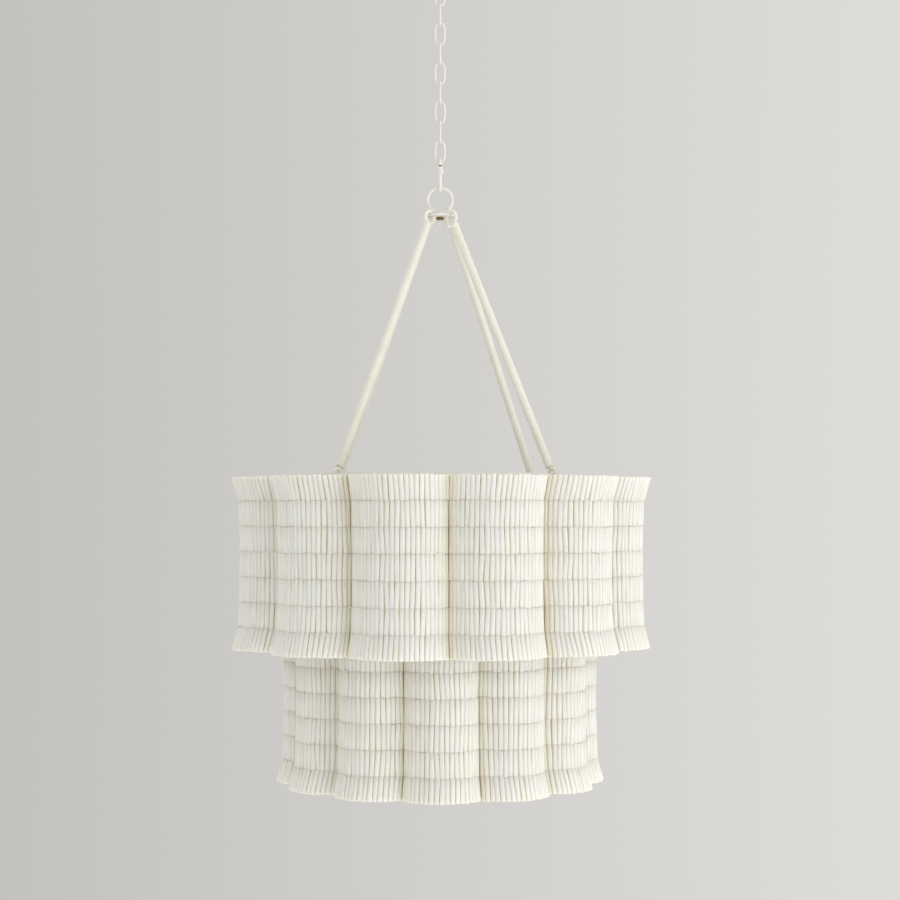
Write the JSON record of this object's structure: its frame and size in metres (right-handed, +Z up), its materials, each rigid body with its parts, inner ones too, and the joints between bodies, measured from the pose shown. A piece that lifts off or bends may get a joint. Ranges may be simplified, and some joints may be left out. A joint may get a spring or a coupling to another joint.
{
  "type": "beaded chandelier",
  "caption": "Hanging light with two scalloped tiers of white tube beads on a wire frame, carried by wrapped rods, a hub ring and a chain below a round ceiling canopy.",
  "frame": {"origin": "middle of the ceiling strap's upper face, which lies against the ceiling", "axes": "+Z up into the ceiling, the chandelier hangs down -Z; -Y is the front that the picture shows, +X its right"},
  "size_m": [0.596, 0.596, 1.2079],
  "materials": {
    "white_paint": "satin off-white powder coat",
    "white_clay": "matte white clay",
    "cream_wrap": "matte cream cord wrap",
    "white_porcelain": "glazed white porcelain",
    "lamp_glass": "frosted lamp glass",
    "brass": "plain aged brass"
  },
  "bodies": {
    "ceiling_mount": {"ceiling_strap": "white_paint", "threaded_nipple": "brass", "canopy_loop": "white_paint"},
    "canopy": {"canopy": "white_paint", "canopy_collar": "white_paint"},
    "link_1": {"chain_link_1": "white_paint"},
    "link_2": {"chain_link_2": "white_paint"},
    "link_3": {"chain_link_3": "white_paint"},
    "link_4": {"chain_link_4": "white_paint"},
    "link_5": {"chain_link_5": "white_paint"},
    "link_6": {"chain_link_6": "white_paint"},
    "link_7": {"chain_link_7": "white_paint"},
    "link_8": {"chain_link_8": "white_paint"},
    "link_9": {"chain_link_9": "white_paint"},
    "quick_link": {"quick_link": "white_paint"},
    "quick_link_nut": {"quick_link_nut": "white_paint"},
    "shade": {"hub_ring": "white_paint", "hub_lying_ring": "white_paint", "hub_bolt": "brass", "rod_core_1": "white_paint", "rod_wrap_1": "cream_wrap", "rod_core_2": "white_paint", "rod_wrap_2": "cream_wrap", "rod_core_3": "white_paint", "rod_wrap_3": "cream_wrap", "rod_core_4": "white_paint", "rod_wrap_4": "cream_wrap", "upper_top_wire": "white_paint", "upper_bottom_wire": "white_paint", "upper_tube_row_1": "white_clay", "upper_tube_row_2": "white_clay", "upper_tube_row_3": "white_clay", "upper_tube_row_4": "white_clay", "upper_tube_row_5": "white_clay", "upper_tube_row_6": "white_clay", "upper_tube_row_7": "white_clay", "lower_top_wire": "white_paint", "lower_bottom_wire": "white_paint", "lower_tube_row_1": "white_clay", "lower_tube_row_2": "white_clay", "lower_tube_row_3": "white_clay", "lower_tube_row_4": "white_clay", "lower_tube_row_5": "white_clay", "lower_tube_row_6": "white_clay", "lower_tube_row_7": "white_clay", "carrier_ring": "white_paint", "drop_wire_1": "white_paint", "drop_wire_2": "white_paint", "drop_wire_3": "white_paint", "drop_wire_4": "white_paint", "lamp_holder": "white_paint", "lamp_socket_1": "white_porcelain", "lamp_socket_2": "white_porcelain", "lamp_socket_3": "white_porcelain", "lamp_socket_4": "white_porcelain"},
    "bulb_1": {"lamp_bulb_1": "lamp_glass"},
    "bulb_2": {"lamp_bulb_2": "lamp_glass"},
    "bulb_3": {"lamp_bulb_3": "lamp_glass"},
    "bulb_4": {"lamp_bulb_4": "lamp_glass"}
  },
  "joints": [
    {"name": "canopy_drop", "type": "slide", "parent": "ceiling_mount", "child": "canopy", "axis": [0, 0, -1], "range_m": [0, 0.025]},
    {"name": "link_1_swing", "type": "hinge", "parent": "ceiling_mount", "child": "link_1", "pos_m": [0, 0, -0.05595], "axis": [0, 1, 0], "range_deg": [-10, 10]},
    {"name": "link_2_swing", "type": "hinge", "parent": "link_1", "child": "link_2", "pos_m": [0, 0, -0.08392], "axis": [1, 0, 0], "range_deg": [-10, 10]},
    {"name": "link_3_swing", "type": "hinge", "parent": "link_2", "child": "link_3", "pos_m": [0, 0, -0.11232], "axis": [0, 1, 0], "range_deg": [-10, 10]},
    {"name": "link_4_swing", "type": "hinge", "parent": "link_3", "child": "link_4", "pos_m": [0, 0, -0.14072], "axis": [1, 0, 0], "range_deg": [-10, 10]},
    {"name": "link_5_swing", "type": "hinge", "parent": "link_4", "child": "link_5", "pos_m": [0, 0, -0.16912], "axis": [0, 1, 0], "range_deg": [-10, 10]},
    {"name": "link_6_swing", "type": "hinge", "parent": "link_5", "child": "link_6", "pos_m": [0, 0, -0.19753], "axis": [1, 0, 0], "range_deg": [-10, 10]},
    {"name": "link_7_swing", "type": "hinge", "parent": "link_6", "child": "link_7", "pos_m": [0, 0, -0.22592], "axis": [0, 1, 0], "range_deg": [-10, 10]},
    {"name": "link_8_swing", "type": "hinge", "parent": "link_7", "child": "link_8", "pos_m": [0, 0, -0.25433], "axis": [1, 0, 0], "range_deg": [-10, 10]},
    {"name": "link_9_swing", "type": "hinge", "parent": "link_8", "child": "link_9", "pos_m": [0, 0, -0.28273], "axis": [0, 1, 0], "range_deg": [-10, 10]},
    {"name": "quick_link_swing", "type": "hinge", "parent": "link_9", "child": "quick_link", "pos_m": [0, 0, -0.31112], "axis": [1, 0, 0], "range_deg": [-10, 10]},
    {"name": "quick_link_nut_travel", "type": "slide", "parent": "quick_link", "child": "quick_link_nut", "axis": [0, 0, -1], "range_m": [0, 0.008]},
    {"name": "shade_swing", "type": "hinge", "parent": "quick_link", "child": "shade", "pos_m": [0, 0, -0.35285], "axis": [0, 1, 0], "range_deg": [-10, 10]},
    {"name": "bulb_1_unscrew", "type": "slide", "parent": "shade", "child": "bulb_1", "axis": [0, 0, -1], "range_m": [0, 0.02]},
    {"name": "bulb_2_unscrew", "type": "slide", "parent": "shade", "child": "bulb_2", "axis": [0, 0, -1], "range_m": [0, 0.02]},
    {"name": "bulb_3_unscrew", "type": "slide", "parent": "shade", "child": "bulb_3", "axis": [0, 0, -1], "range_m": [0, 0.02]},
    {"name": "bulb_4_unscrew", "type": "slide", "parent": "shade", "child": "bulb_4", "axis": [0, 0, -1], "range_m": [0, 0.02]}
  ]
}
